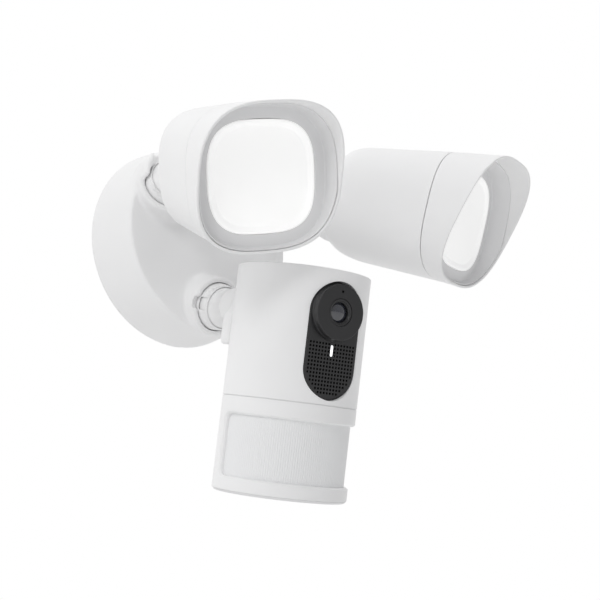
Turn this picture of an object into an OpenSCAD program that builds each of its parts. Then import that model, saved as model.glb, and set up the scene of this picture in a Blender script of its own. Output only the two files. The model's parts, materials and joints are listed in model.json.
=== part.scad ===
// Floodlight security camera: a round wall canopy with three ball joints that carry
// two hooded LED lamps and a cylindrical camera with a motion-sensor window.
// Frame: the wall is the plane Y = 0, the front faces -Y, Z is up, X is to the right.

/* [Canopy] */
// Diameter of the canopy at the wall
base_d = 130; // [124:1:140]
// Diameter of the canopy's front face
base_front_d = 122; // [118:1:124]
// Depth of the canopy from the wall to its front face
base_depth = 38.5; // [36:0.5:42]
// Wall thickness of the canopy moulding
base_wall = 2.6; // [2.2:0.1:3]

/* [Ball joints] */
// Diameter of each ball
ball_d = 26.8; // [26.4:0.1:27]
// Distance of each ball centre from the canopy's axis
ball_ring_r = 47.5; // [46:0.5:49]
// Distance of each ball centre in front of the front face
ball_out = 10.5; // [10:0.5:12]
// Outward tilt of each socket
socket_tilt = 17; // [14:1:20]
// Diameter of the stem between a ball and what it carries
stem_d = 12; // [11:0.5:12.5]
// Width of the notch in each clamp collar
notch_w = 7.5; // [6:0.5:9]

/* [Lamps] */
// Width of a lamp at its back
lamp_back_w = 66; // [64:1:68]
// Width of a lamp at its hood's rim
lamp_front_w = 78; // [76:1:80]
// Length of a lamp from its back to the middle of its rim
lamp_len = 103.5; // [100:0.5:108]
// How far the rim leans forward for each millimetre of height
hood_lean = 0.29; // [0.2:0.01:0.32]
// Squareness of a lamp's outline: 2 is round, higher is squarer
lamp_square = 2.85; // [2.5:0.05:3.2]
// Wall thickness of a lamp's shells
lamp_wall = 2.4; // [2:0.1:2.6]
// Width of the light-diffusing lens
diffuser_w = 58; // [56:0.5:59]

/* [Camera] */
// Diameter of the camera's body
cam_d = 74.4; // [74:0.2:76]
// Height of the camera's body
cam_h = 124; // [122:1:128]
// Distance of the joint between body and sensor housing below the top
cam_joint = 72.4; // [72:0.2:74]
// Width of the black front plate
plate_w = 32.8; // [32:0.2:34]
// Height of the black front plate
plate_h = 63.4; // [62:0.2:64]
// Height of the motion-sensor window
window_h = 33.2; // [30:0.2:34]
// Angle that the motion-sensor window covers
window_angle = 196; // [180:2:200]

/* [Rest pose] */
// Downward pitch of the left lamp
left_pitch = 22.5; // [18:0.5:25]
// Sideways turn of the left lamp
left_yaw = -16.5; // [-19:0.5:-14]
// Roll of the left lamp about its own length
left_roll = -12; // [-14:0.5:-8]
// Downward pitch of the right lamp
right_pitch = 17; // [14:0.5:20]
// Sideways turn of the right lamp
right_yaw = 19.5; // [17:0.5:22]
// Roll of the right lamp about its own length
right_roll = -4; // [-6:0.5:0]
// Downward pitch of the camera
cam_pitch = 11; // [9:0.5:13]
// Sideways turn of the camera
cam_yaw = -6.5; // [-8:0.5:-4]

/* [Hidden] */
$fn = 96;

white = [0.93, 0.93, 0.93];
off_white = [0.86, 0.86, 0.86];
grey = [0.62, 0.62, 0.63];
black = [0.06, 0.06, 0.065];
rubber_black = [0.08, 0.08, 0.08];
steel = [0.70, 0.71, 0.72];
board_green = [0.08, 0.30, 0.16];

// Canopy
base_r = base_d / 2;
base_front_r = base_front_d / 2;
gasket_t = 1.5;
edge_r = 1.6;
face_in = base_depth - base_wall;

// Ball joints: which arm is which
LEFT = 0;
RIGHT = 1;
CAMERA = 2;
ARMS = [LEFT, RIGHT, CAMERA];
ball_r = ball_d / 2;
stem_r = stem_d / 2;
stem_len = 44;
gap = 0.3;
fit = 0.06;
seat_r = 15.4;
boss_r = 18.7;
collar_r = 14.7;
cradle_r = 22;
cradle_slot_w = 23;
wire_r = 3;
socket_angle = [150, 30, 270];
ball_at = [for (a = socket_angle) [ball_ring_r * cos(a), -(base_depth + ball_out), ball_ring_r * sin(a)]];
socket_yaw = [for (a = socket_angle) atan2(cos(a) * sin(socket_tilt), cos(socket_tilt))];
socket_rise = [for (a = socket_angle) asin(sin(a) * sin(socket_tilt))];
arm_pitch = [left_pitch, right_pitch, cam_pitch];
arm_yaw = [left_yaw, right_yaw, cam_yaw];
arm_roll = [left_roll, right_roll, 0];
stem_turn = [8, -8, 0];

// Lamps: the lamp's back is stem_reach in front of the ball, and above the stem
stem_reach = 50;
lamp_lift = 12.5;
lamp_shift = [for (a = stem_turn) stem_reach * tan(a)];
back_half = lamp_back_w / 2;
front_half = lamp_front_w / 2;
back_round = 25;
hood_from = 81;
parting = 0.4;
hood_wall = 1.4;
visor_from = 100;
bezel_at = 88.3;
diffuser_at = 85.4;
diffuser_half = diffuser_w / 2;
led_pitch = 8;
led_rows = 6;
outline_steps = 64;

// Camera: its top is cam_lift above the ball, its back is cam_reach in front of the ball
cam_r = cam_d / 2;
cam_wall = 2.4;
cam_reach = 51.8;
cam_lift = 18.3;
groove = 0.5;
window_top = 82;
window_in = 2.4;
plate_mid = 38;
plate_face = 33.9;
plate_t = 2.8;
lens_mid = plate_mid - plate_h / 2 + plate_w / 2;
disc_r = 15;
disc_base_r = 16.2;
disc_front = cam_r + 1.7;
barrel_r = 7.6;
glass_r = 5.8;
dock_w = 38;
dock_front = cam_reach - 5.4;
dock_back = cam_reach - 15;
dock_low = -24.6;
button_z = -58;

// Places
module in_arm(k) {
  translate(ball_at[k])
    rotate([0, 0, arm_yaw[k]])
      rotate([arm_pitch[k], 0, 0])
        rotate([0, arm_roll[k], 0])
          children();
}

module in_stem(k) {
  in_arm(k)
    rotate([0, 0, stem_turn[k]])
      rotate([90, 0, 0])
        children();
}

module in_socket(k) {
  translate(ball_at[k])
    rotate([0, 0, socket_yaw[k]])
      rotate([90 - socket_rise[k], 0, 0])
        children();
}

module in_lamp(k) {
  in_arm(k)
    translate([lamp_shift[k], -stem_reach, lamp_lift])
      children();
}

module in_camera() {
  in_arm(CAMERA)
    translate([0, -(cam_r + cam_reach), cam_lift])
      children();
}

// Turned shapes
module about_wall_axis() {
  rotate([90, 0, 0])
    children();
}

module ring(r_out, r_in, from, to) {
  translate([0, 0, from])
    difference() {
      cylinder(r = r_out, h = to - from);
      translate([0, 0, -1])
        cylinder(r = r_in, h = to - from + 2);
    }
}

module rounded_disc(r_back, r_front, from, to, edge) {
  rotate_extrude()
    polygon(concat(
      [[0, from], [r_back, from]],
      [for (a = [0:15:90]) [r_front - edge + edge * cos(a), to - edge + edge * sin(a)]],
      [[0, to]]
    ));
}

module screw(r, length, head_r, head_h) {
  cylinder(r = r, h = length);
  translate([0, 0, length])
    difference() {
      cylinder(r = head_r, h = head_h);
      translate([0, 0, head_h / 2])
        cylinder(r = head_r / 2, h = head_h, $fn = 6);
    }
}

// A lamp's outline is a superellipse. A row is [half width, distance from the back, lean, and
// where it is given, the distance from the back that no point of the row passes].
function lamp_half(s) = back_half + (front_half - back_half) * s / lamp_len;
function outline(half, s, lean, limit = 999) = [
  for (i = [0:outline_steps - 1])
    let (a = 360 * i / outline_steps)
    let (c = cos(a), d = sin(a))
    let (q = half * pow(pow(abs(c), lamp_square) + pow(abs(d), lamp_square), -1 / lamp_square))
    [q * c, -min(limit, s + lean * q * d), q * d]
];

module loft(rows, open = false) {
  n = outline_steps;
  last = len(rows) - 1;
  pairs = open ? [for (j = [0:last]) [j, (j + 1) % (last + 1)]] : [for (j = [0:last - 1]) [j, j + 1]];
  sides = [
    for (p = pairs)
      for (i = [0:n - 1])
        let (k = (i + 1) % n)
        each [[p[0] * n + i, p[1] * n + i, p[1] * n + k], [p[0] * n + i, p[1] * n + k, p[0] * n + k]]
  ];
  caps = open ? [] : [[for (i = [0:n - 1]) i], [for (i = [n - 1:-1:0]) last * n + i]];
  polyhedron(points = [for (r = rows) each outline(r[0], r[1], r[2], len(r) > 3 ? r[3] : 999)], faces = concat(caps, sides));
}

// Rows of a lamp's rounded back, from the flat middle outwards, for a skin moved in by t
function back_rows(t) = [
  for (a = [90:-15:0])
    let (r = back_round - t)
    let (s = t + r * (1 - sin(a)))
    [lamp_half(s) - back_round + r * cos(a), s, 0]
];
function reversed(list) = [for (i = [len(list) - 1:-1:0]) list[i]];

// Canopy and what is in it
module wall_gasket() {
  color(grey)
    about_wall_axis()
      ring(base_r - 0.8, base_r - 7, 0, gasket_t);
}

module socket_boss(k) {
  in_socket(k)
    rotate_extrude()
      polygon(concat(
        [[0, -17], [boss_r + 1.6, -17], [boss_r + 0.4, -10], [boss_r, -5.5]],
        [for (a = [15:15:90]) [boss_r - 3 + 3 * cos(a), -4.5 + 3 * sin(a)]],
        [[0, -1.5]]
      ));
}

// The lamp sockets rise into a cradle that is open at the top, so the stem can swing up
module socket_cradle(k) {
  intersection() {
    about_wall_axis()
      cylinder(r = base_r + 2, h = base_depth + 30);
    in_socket(k)
      translate([0, 0, -14])
        cylinder(r = cradle_r, h = 17);
    in_socket(k)
      translate([-boss_r + 0.7, 0, -14])
        cube([2 * boss_r - 1.4, 22, 17]);
  }
}

module cradle_slot(k) {
  in_socket(k)
    translate([-cradle_slot_w / 2, 6, -7.9])
      cube([cradle_slot_w, 30, 20]);
}

module canopy() {
  color(white)
    difference() {
      union() {
        about_wall_axis()
          rounded_disc(base_r, base_front_r, gasket_t, base_depth, edge_r);
        for (k = ARMS)
          socket_boss(k);
        for (k = [LEFT, RIGHT])
          socket_cradle(k);
      }
      difference() {
        about_wall_axis()
          rounded_disc(base_r - base_wall, base_front_r - base_wall, gasket_t - 1, face_in, edge_r);
        for (k = ARMS)
          socket_boss(k);
        for (a = [90, 210, 330])
          translate([42 * cos(a), 0, 42 * sin(a)])
            about_wall_axis()
              ring(3.6, 1.2, 9, base_depth);
      }
      for (k = [LEFT, RIGHT])
        cradle_slot(k);
      in_socket(CAMERA)
        translate([-18.4, -notch_w / 2, -4.4])
          cube([8, notch_w, 9]);
      for (k = ARMS)
        in_socket(k) {
          sphere(r = seat_r);
          translate([0, 0, -8])
            cylinder(r = collar_r + gap, h = 30);
          translate([0, 0, -30])
            cylinder(r = wire_r + 1, h = 30);
        }
      translate([0, -12, base_r - 8])
        cylinder(r = 2.3, h = 12);
    }
}

module rear_plate() {
  color(off_white)
    difference() {
      union() {
        about_wall_axis()
          translate([0, 0, 6])
            cylinder(r = base_r - 4.4, h = 3);
        for (x = [-26, 26])
          for (z = [-41, -11])
            translate([x, 0, z])
              about_wall_axis()
                ring(2.6, 1, 8.5, 15);
        for (x = [-34, 34])
          translate([x, 0, 0])
            about_wall_axis()
              ring(5, 1.6, 2, 6);
      }
      translate([22, -20, 22])
        rotate([-90, 0, 0])
          cylinder(r = 9.2, h = 30);
      for (z = [-62, 50])
        translate([-11, -20, z])
          cube([22, 30, 12]);
    }
}

module cable_grommet() {
  color(rubber_black)
    translate([22, 0, 22])
      about_wall_axis() {
        ring(9.1, 6, 6, 9);
        ring(11.5, 6, 4.5, 6);
        ring(11.5, 6, 9, 10.5);
      }
}

module bracket_slot(x) {
  for (e = [-3.6, 3.6])
    translate([x + e, 1, 0])
      about_wall_axis()
        cylinder(r = 2.4, h = 4);
  translate([x - 3.6, -3, -2.4])
    cube([7.2, 4, 4.8]);
}

module mounting_bracket() {
  color(steel)
    difference() {
      union() {
        translate([-53, -2, -8])
          cube([106, 2, 16]);
        translate([-8, -2, -56])
          cube([16, 2, 113]);
        translate([-8, -16, 55])
          cube([16, 14, 2]);
        translate([-8, -14, -56])
          cube([16, 12, 2]);
      }
      for (x = [-44.45, 44.45])
        bracket_slot(x);
      translate([0, -12, 50])
        cylinder(r = 1.7, h = 12);
    }
}

module canopy_screw() {
  color(steel)
    translate([0, -12, 54])
      screw(1.65, 8.6, 2.2, 1.6);
}

module terminal_block() {
  color(off_white)
    difference() {
      translate([-44, -23, 14])
        cube([36, 14, 14]);
      for (x = [-38, -26, -14])
        translate([x, -17, 10])
          cylinder(r = 3, h = 15);
    }
}

module driver_board() {
  color(board_green)
    translate([-30, -16.6, -46])
      cube([60, 1.6, 40]);
}

module driver_parts() {
  color(grey) {
    translate([-22, -30, -28])
      cube([20, 13.4, 18]);
    for (x = [8, 20])
      translate([x, -16.6, -18])
        about_wall_axis()
          cylinder(r = 5, h = 14);
    for (x = [6, 14, 22])
      translate([x, -20, -40])
        cube([5, 3.4, 12]);
  }
}

// Ball joints
module collar(k, notch_turn) {
  color(white)
    in_socket(k)
      difference() {
        rotate_extrude()
          polygon([
            [0, -7.6], [collar_r, -7.6], [collar_r, 1], [collar_r - 0.3, 2.6],
            [collar_r - 0.8, 4], [collar_r - 1.4, 5.3], [0, 5.3]
          ]);
        sphere(r = ball_r + gap);
        translate([0, 0, -9])
          cylinder(r = 11.4, h = 8);
        rotate([0, 0, notch_turn])
          translate([0, -notch_w / 2, -2.6])
            cube([30, notch_w, 6]);
      }
}

module friction_pad(k) {
  color(grey)
    in_socket(k)
      intersection() {
        difference() {
          sphere(r = seat_r - gap);
          sphere(r = ball_r + gap);
          translate([0, 0, -20])
            cylinder(r = wire_r + 1, h = 20);
        }
        translate([0, 0, -20])
          cylinder(r1 = 13.4, r2 = 0.01, h = 20);
      }
}

module ball_arm(k) {
  color(white)
    in_stem(k)
      difference() {
        union() {
          sphere(r = ball_r);
          cylinder(r = stem_r, h = stem_len);
        }
        translate([0, 0, -20])
          cylinder(r = wire_r, h = 80);
      }
}

// Lamps
module lamp_neck(k) {
  color(white)
    in_stem(k)
      difference() {
        union() {
          translate([0, 0, 31])
            cylinder(r = 9.5, h = 29);
          translate([0, 0, 44])
            cylinder(r1 = 9.5, r2 = 13, h = 6);
          translate([0, 0, 50])
            cylinder(r = 13, h = 10);
        }
        translate([0, 0, 20])
          cylinder(r = stem_r + fit, h = stem_len - 20 + gap);
        translate([0, 0, 20])
          cylinder(r = wire_r + 1, h = 60);
      }
}

module lamp_rear_housing(k) {
  rear = back_rows(0);
  inside = back_rows(lamp_wall);
  color(white)
    in_lamp(k)
      loft(concat(
        rear,
        [[lamp_half(hood_from), hood_from, 0], [lamp_half(hood_from) - lamp_wall, hood_from, 0]],
        reversed(inside)
      ));
}

module lamp_hood(k) {
  back = hood_from + parting;
  tongue = hood_from - 5;
  color(white)
    in_lamp(k)
      loft([
        [lamp_half(back), back, 0],
        [front_half - 0.1, lamp_len - 0.5, hood_lean],
        [front_half - 0.6, lamp_len, hood_lean],
        [front_half - hood_wall, lamp_len - 0.5, hood_lean],
        [lamp_half(visor_from) - hood_wall, lamp_len - 3, hood_lean, visor_from - 5],
        [lamp_half(back) - hood_wall - 0.8, back + 1, 0],
        [lamp_half(tongue) - lamp_wall - 2, tongue, 0],
        [lamp_half(tongue) - lamp_wall - 0.4, tongue, 0],
        [lamp_half(back) - lamp_wall - 0.4, back, 0]
      ], open = true);
}

module lamp_seal(k) {
  tongue = hood_from - 5;
  color(rubber_black)
    in_lamp(k)
      loft([
        [lamp_half(tongue) - lamp_wall - 0.4, tongue - 2, 0],
        [lamp_half(tongue) - lamp_wall - 0.4, tongue, 0],
        [lamp_half(tongue) - lamp_wall - 2.4, tongue, 0],
        [lamp_half(tongue) - lamp_wall - 2.4, tongue - 2, 0]
      ], open = true);
}

module lamp_bezel(k) {
  color(off_white)
    in_lamp(k)
      loft([
        [lamp_half(bezel_at) - hood_wall - 0.9, bezel_at - 1.6, 0],
        [lamp_half(visor_from) - hood_wall - 0.3, lamp_len - 1.2, hood_lean, visor_from],
        [lamp_half(visor_from) - hood_wall - 0.9, lamp_len - 1.2, hood_lean, visor_from],
        [lamp_half(bezel_at) - hood_wall - 1.3, bezel_at, 0],
        [diffuser_half + 0.3, bezel_at + 1.2, 0],
        [diffuser_half + 0.3, bezel_at - 1.6, 0]
      ], open = true);
}

module lamp_diffuser(k) {
  color([1, 1, 0.98])
    in_lamp(k)
      loft([
        [diffuser_half, diffuser_at, 0],
        [diffuser_half, diffuser_at + 4, 0],
        [diffuser_half - 1, diffuser_at + 4.5, 0],
        [diffuser_half - 2.8, diffuser_at + 3.2, 0],
        [diffuser_half * 0.66, diffuser_at + 3.8, 0],
        [diffuser_half * 0.33, diffuser_at + 4.1, 0]
      ]);
}

module lamp_led_board(k) {
  color(white)
    in_lamp(k)
      translate([-26, -81.6, -26])
        cube([52, 1.6, 52]);
}

module lamp_leds(k) {
  color([1, 0.9, 0.5])
    in_lamp(k)
      for (i = [0:led_rows - 1])
        for (j = [0:led_rows - 1])
          translate([(i - (led_rows - 1) / 2) * led_pitch - 1.5, -82.3, (j - (led_rows - 1) / 2) * led_pitch - 1.5])
            cube([3, 0.7, 3]);
}

module lamp_heat_sink(k) {
  color(steel)
    in_lamp(k) {
      translate([-25.5, -80, -25.5])
        cube([51, 4, 51]);
      for (i = [-5:5])
        translate([i * 4.6 - 0.9, -76, -22])
          cube([1.8, 24, 44]);
    }
}

module lamp_board_screws(k) {
  color(steel)
    in_lamp(k)
      for (x = [-23.6, 23.6])
        for (z = [-23.6, 23.6])
          translate([x, -81.6, z])
            about_wall_axis()
              ring(1.9, 0.8, 0, 1.4);
}

// Camera
module plate_outline(grow) {
  w = plate_w / 2 + grow;
  for (z = [lens_mid, 2 * plate_mid - lens_mid])
    translate([0, -z])
      circle(r = w);
  translate([-w, -(2 * plate_mid - lens_mid)])
    square([2 * w, 2 * (plate_mid - lens_mid)]);
}

module plate_prism(grow) {
  translate([0, -cam_r + 8, 0])
    rotate([90, 0, 0])
      linear_extrude(height = 12)
        plate_outline(grow);
}

module camera_dock() {
  color(white)
    difference() {
      union() {
        in_stem(CAMERA) {
          translate([0, 0, 33])
            cylinder(r = 9.5, h = dock_front - 33);
          translate([0, 0, dock_back])
            linear_extrude(height = dock_front - dock_back) {
              circle(r = 11);
              polygon([
                [-11, 0], [-dock_w / 2, -6], [-dock_w / 2, dock_low + 2], [-dock_w / 2 + 2, dock_low],
                [dock_w / 2 - 2, dock_low], [dock_w / 2, dock_low + 2], [dock_w / 2, -6], [11, 0]
              ]);
            }
          translate([-dock_w / 2 + 2, -19, dock_front])
            cube([dock_w - 4, 10, 16]);
          translate([-8, -19, dock_front])
            cube([16, 25, 10]);
        }
      }
      in_camera()
        translate([0, 0, -cam_h])
          cylinder(r = cam_r, h = cam_h + 10);
      in_stem(CAMERA) {
        translate([0, 0, 20])
          cylinder(r = stem_r + fit, h = stem_len - 20 + gap);
        translate([0, 0, 20])
          cylinder(r = wire_r + 1, h = 80);
      }
    }
}

module dock_screws() {
  color(steel)
    in_stem(CAMERA)
      for (x = [-14, 14])
        translate([x, -14, dock_back - 1.4])
          ring(2.6, 1, 0, 1.4);
}

module camera_shell() {
  color(white)
    in_camera()
      difference() {
        translate([0, 0, -cam_joint + groove / 2])
          rounded_disc(cam_r, cam_r, 0, cam_joint - groove / 2, 1.3);
        translate([0, 0, -cam_joint - 1])
          cylinder(r = cam_r - cam_wall, h = cam_joint + 1 - cam_wall);
        plate_prism(0.15);
        translate([0, cam_r - 8, button_z])
          rotate([-90, 0, 0])
            cylinder(r = 3.3, h = 12);
        translate([0, cam_r - 10, -cam_lift])
          rotate([-90, 0, 0])
            cylinder(r = wire_r + 1, h = 14);
      }
}

module joint_seal() {
  color(grey)
    in_camera()
      translate([0, 0, -cam_joint])
        ring(cam_r - 0.7, cam_r - cam_wall, -groove / 2, groove / 2);
}

module window_cut(r_out, r_in, low, high, angle) {
  rotate([0, 0, -90 - angle / 2])
    rotate_extrude(angle = angle)
      translate([r_in, low])
        square([r_out - r_in, high - low]);
}

module sensor_housing() {
  top = -cam_joint - groove / 2;
  color(white)
    in_camera()
      difference() {
        ring(cam_r, cam_r - cam_wall, -cam_h + 1.5, top);
        window_cut(cam_r + 1, cam_r - 6, -window_top - window_h, -window_top, window_angle);
      }
}

module bottom_cap() {
  color(off_white)
    in_camera()
      rotate_extrude()
        polygon([
          [0, -cam_h + 0.6], [cam_r - 3.4, -cam_h + 0.6], [cam_r - 3, -cam_h], [cam_r - 1.5, -cam_h],
          [cam_r, -cam_h + 1.5], [cam_r - cam_wall - 0.2, -cam_h + 1.5],
          [cam_r - cam_wall - 0.2, -cam_h + 4], [cam_r - 5, -cam_h + 4], [cam_r - 5, -cam_h + 2.6],
          [0, -cam_h + 2.6]
        ]);
}

module motion_lens() {
  color([0.88, 0.89, 0.9])
    in_camera()
      window_cut(cam_r - window_in - 0.05, cam_r - window_in - 1, -window_top - window_h - 1.6,
                 -window_top + 1.6, window_angle + 8);
}

module motion_board() {
  color(board_green)
    in_camera()
      translate([-26, -8, -window_top - window_h])
        cube([52, 1.6, window_h]);
}

module motion_sensors() {
  color(steel)
    in_camera()
      for (a = [-50, 0, 50])
        translate([a / 50 * 17, -8, -window_top - window_h / 2])
          rotate([90, 0, 0])
            cylinder(r = 4.2, h = 5);
}

module front_plate() {
  color(black)
    in_camera()
      difference() {
        translate([0, plate_t - plate_face, 0])
          rotate([90, 0, 0])
            linear_extrude(height = plate_t)
              plate_outline(0);
        translate([0, 0, -lens_mid])
          rotate([90, 0, 0])
            cylinder(r = disc_r + 0.1, h = 60);
        translate([-0.8, -60, -lens_mid - 24.2])
          cube([1.6, 60, 6.4]);
        for (i = [-3:3])
          for (j = [0:4])
            if (norm([abs(i * 4) + 0.9, max(0, j * 3.6 - 1.6)]) < plate_w / 2 - 1.2)
              translate([i * 4 - 0.9, -60, -lens_mid - 29 - j * 3.6])
                cube([1.8, 60, 1.8]);
      }
}

module lens_housing() {
  back = plate_face - plate_t;
  color(black)
    in_camera()
      translate([0, 0, -lens_mid])
        rotate([90, 0, 0])
          difference() {
            rotate_extrude()
              polygon([
                [0, back], [disc_r, back], [disc_r, plate_face], [disc_base_r, plate_face],
                [disc_base_r, plate_face + 1.1], [disc_base_r - 0.5, plate_face + 1.6],
                [disc_r + 0.4, plate_face + 1.6], [disc_r + 0.1, disc_front - 0.7],
                [disc_r - 0.2, disc_front - 0.2], [disc_r - 0.7, disc_front], [0, disc_front]
              ]);
            cylinder(r = barrel_r + 0.1, h = 60);
            translate([0, 11.2, 0])
              cylinder(r = 0.8, h = 60);
          }
}

module lens_trim() {
  color(black)
    in_camera()
      translate([0, 0, -lens_mid])
        rotate([90, 0, 0])
          rotate_extrude()
            polygon([
              [barrel_r, disc_front - 12], [barrel_r, disc_front - 0.3], [barrel_r - 0.4, disc_front],
              [glass_r + 1, disc_front - 0.2], [glass_r + 0.4, disc_front - 1],
              [glass_r + 0.1, disc_front - 2.2], [glass_r - 1, disc_front - 2.2],
              [4.2, disc_front - 5.5], [3.4, disc_front - 12]
            ]);
}

module lens_glass() {
  color([0.15, 0.2, 0.3, 0.6])
    in_camera()
      translate([0, 0, -lens_mid])
        rotate([90, 0, 0])
          intersection() {
            translate([0, 0, disc_front - 14.6])
              sphere(r = 14);
            translate([0, 0, disc_front - 2.15])
              cylinder(r = glass_r, h = 10);
          }
}

module image_board() {
  color(board_green)
    in_camera()
      translate([-14, -(disc_front - 12.1), -lens_mid - 14])
        cube([28, 1.4, 28]);
}

module status_light() {
  color([1, 1, 1])
    in_camera()
      translate([-0.7, -plate_face - 0.1, -lens_mid - 24.1])
        cube([1.4, 4, 6.2]);
}

module microphone() {
  color(steel)
    in_camera()
      translate([0, plate_t + 0.1 - plate_face, -lens_mid + 11.2])
        rotate([-90, 0, 0])
          cylinder(r = 2.5, h = 1.8);
}

module speaker() {
  color(grey)
    in_camera()
      translate([0, 0, -lens_mid - 37])
        rotate([90, 0, 0])
          difference() {
            translate([0, 0, cam_r - 13])
              cylinder(r = 12.6, h = 6);
            translate([0, 0, cam_r - 9])
              cylinder(r1 = 6, r2 = 11, h = 3);
          }
}

module main_board() {
  color(board_green)
    in_camera()
      translate([-27, 2, -66])
        cube([54, 1.6, 60]);
}

module pairing_button() {
  color(grey)
    in_camera()
      translate([0, cam_r - 6, button_z])
        rotate([-90, 0, 0]) {
          cylinder(r = 3, h = 6.2);
          cylinder(r = 4.2, h = 1.4);
        }
}

wall_gasket();
canopy();
rear_plate();
cable_grommet();
mounting_bracket();
canopy_screw();
terminal_block();
driver_board();
driver_parts();
collar(LEFT, 90);  // left_collar
friction_pad(LEFT);  // left_friction_pad
ball_arm(LEFT);  // left_ball_arm
collar(RIGHT, 90);  // right_collar
friction_pad(RIGHT);  // right_friction_pad
ball_arm(RIGHT);  // right_ball_arm
collar(CAMERA, 180);  // camera_collar
friction_pad(CAMERA);  // camera_friction_pad
ball_arm(CAMERA);  // camera_ball_arm
lamp_neck(LEFT);  // left_neck
lamp_rear_housing(LEFT);  // left_rear_housing
lamp_hood(LEFT);  // left_hood
lamp_seal(LEFT);  // left_seal
lamp_bezel(LEFT);  // left_bezel
lamp_diffuser(LEFT);  // left_diffuser
lamp_led_board(LEFT);  // left_led_board
lamp_leds(LEFT);  // left_leds
lamp_heat_sink(LEFT);  // left_heat_sink
lamp_board_screws(LEFT);  // left_board_screws
lamp_neck(RIGHT);  // right_neck
lamp_rear_housing(RIGHT);  // right_rear_housing
lamp_hood(RIGHT);  // right_hood
lamp_seal(RIGHT);  // right_seal
lamp_bezel(RIGHT);  // right_bezel
lamp_diffuser(RIGHT);  // right_diffuser
lamp_led_board(RIGHT);  // right_led_board
lamp_leds(RIGHT);  // right_leds
lamp_heat_sink(RIGHT);  // right_heat_sink
lamp_board_screws(RIGHT);  // right_board_screws
camera_dock();
dock_screws();
camera_shell();
joint_seal();
sensor_housing();
bottom_cap();
motion_lens();
motion_board();
motion_sensors();
front_plate();
lens_housing();
lens_trim();
lens_glass();
image_board();
status_light();
microphone();
speaker();
main_board();
pairing_button();
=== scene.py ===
"""Floodlight security camera: finished skins, materials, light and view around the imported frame.

Lengths are millimetres in each part's own place, and metres in the scene.
"""

import json
from math import asin, atan2, cos, degrees, pi, radians, sin, sqrt, tan

import bmesh
import bpy
import numpy as np
from mathutils import Matrix, Vector
from mathutils.geometry import delaunay_2d_cdt


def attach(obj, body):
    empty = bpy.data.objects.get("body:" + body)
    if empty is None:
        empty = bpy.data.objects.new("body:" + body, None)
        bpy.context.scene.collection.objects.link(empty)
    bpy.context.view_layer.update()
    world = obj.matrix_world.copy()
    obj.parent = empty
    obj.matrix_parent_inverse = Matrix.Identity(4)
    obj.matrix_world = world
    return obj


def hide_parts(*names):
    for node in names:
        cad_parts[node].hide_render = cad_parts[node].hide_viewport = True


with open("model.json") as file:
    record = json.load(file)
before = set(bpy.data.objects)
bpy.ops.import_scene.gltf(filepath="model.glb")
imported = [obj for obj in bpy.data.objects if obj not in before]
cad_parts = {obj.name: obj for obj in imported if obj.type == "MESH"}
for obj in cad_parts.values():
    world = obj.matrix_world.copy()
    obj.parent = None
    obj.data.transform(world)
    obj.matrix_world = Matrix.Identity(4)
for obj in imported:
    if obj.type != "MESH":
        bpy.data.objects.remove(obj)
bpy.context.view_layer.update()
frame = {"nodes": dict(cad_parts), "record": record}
nodes = frame["nodes"]

# ---------------------------------------------------------------- sizes
BASE_R, BASE_FRONT_R, BASE_DEPTH, BASE_WALL = 65.0, 61.0, 38.5, 2.6
GASKET_T = 1.5
BALL_R, BALL_RING, BALL_OUT, SOCKET_TILT = 13.4, 47.5, 10.5, 17.0
STEM_R, STEM_LEN, WIRE_R = 6.0, 44.0, 3.0
GAP, FIT, SEAT_R, BOSS_R, COLLAR_R = 0.3, 0.06, 15.4, 18.7, 14.7
CRADLE_R, CRADLE_SLOT = 22.0, 23.0
NOTCH_W = 7.5
AXIS = 0.001  # radius that stands for a point on the axis

BACK_HALF, FRONT_HALF, LAMP_LEN = 33.0, 39.0, 103.5
HOOD_LEAN, LAMP_SQUARE = 0.29, 2.85
LAMP_WALL, HOOD_WALL = 2.4, 1.4
BACK_ROUND, HOOD_FROM, VISOR_FROM = 25.0, 81.0, 100.0
BEZEL_AT, DIFFUSER_AT, DIFFUSER_HALF = 88.3, 85.4, 29.0
STEM_REACH, LAMP_LIFT = 50.0, 12.5

CAM_R, CAM_H, CAM_WALL = 37.2, 124.0, 2.4
CAM_REACH, CAM_LIFT, CAM_JOINT, GROOVE = 51.8, 18.3, 72.4, 0.5
PLATE_W, PLATE_H, PLATE_MID, PLATE_FACE = 32.8, 63.4, 38.0, 33.9
PLATE_BACK = PLATE_FACE - 2.8
LENS_MID = PLATE_MID - PLATE_H / 2 + PLATE_W / 2
DISC_R, DISC_BASE_R, DISC_FRONT = 15.0, 15.8, CAM_R + 1.1
BARREL_R, GLASS_R, PORT_R, PORT_UP = 7.4, 5.4, 0.75, 11.2
WINDOW_TOP, WINDOW_H, WINDOW_ANGLE, WINDOW_IN = 82.0, 33.2, 196.0, 2.4
DOCK_FRONT, DOCK_BACK, DOCK_W, DOCK_LOW = CAM_REACH - 5.4, CAM_REACH - 15.0, 38.0, -24.6

ARMS = {
    "left": dict(at=150, pitch=22.5, yaw=-16.5, roll=-12, turn=8),
    "right": dict(at=30, pitch=17, yaw=19.5, roll=-4, turn=-8),
    "camera": dict(at=270, pitch=11, yaw=-6.5, roll=0, turn=0),
}
LAMPS = ("left", "right")


# ---------------------------------------------------------------- places
def turn(axis, angle):
    return Matrix.Rotation(radians(angle), 4, axis)


def move(x, y, z):
    return Matrix.Translation((x, y, z))


def ball_place(arm):
    at = radians(ARMS[arm]["at"])
    return move(BALL_RING * cos(at), -(BASE_DEPTH + BALL_OUT), BALL_RING * sin(at))


def in_arm(arm):
    a = ARMS[arm]
    return ball_place(arm) @ turn("Z", a["yaw"]) @ turn("X", a["pitch"]) @ turn("Y", a["roll"])


def in_stem(arm):
    return in_arm(arm) @ turn("Z", ARMS[arm]["turn"]) @ turn("X", 90)


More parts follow.
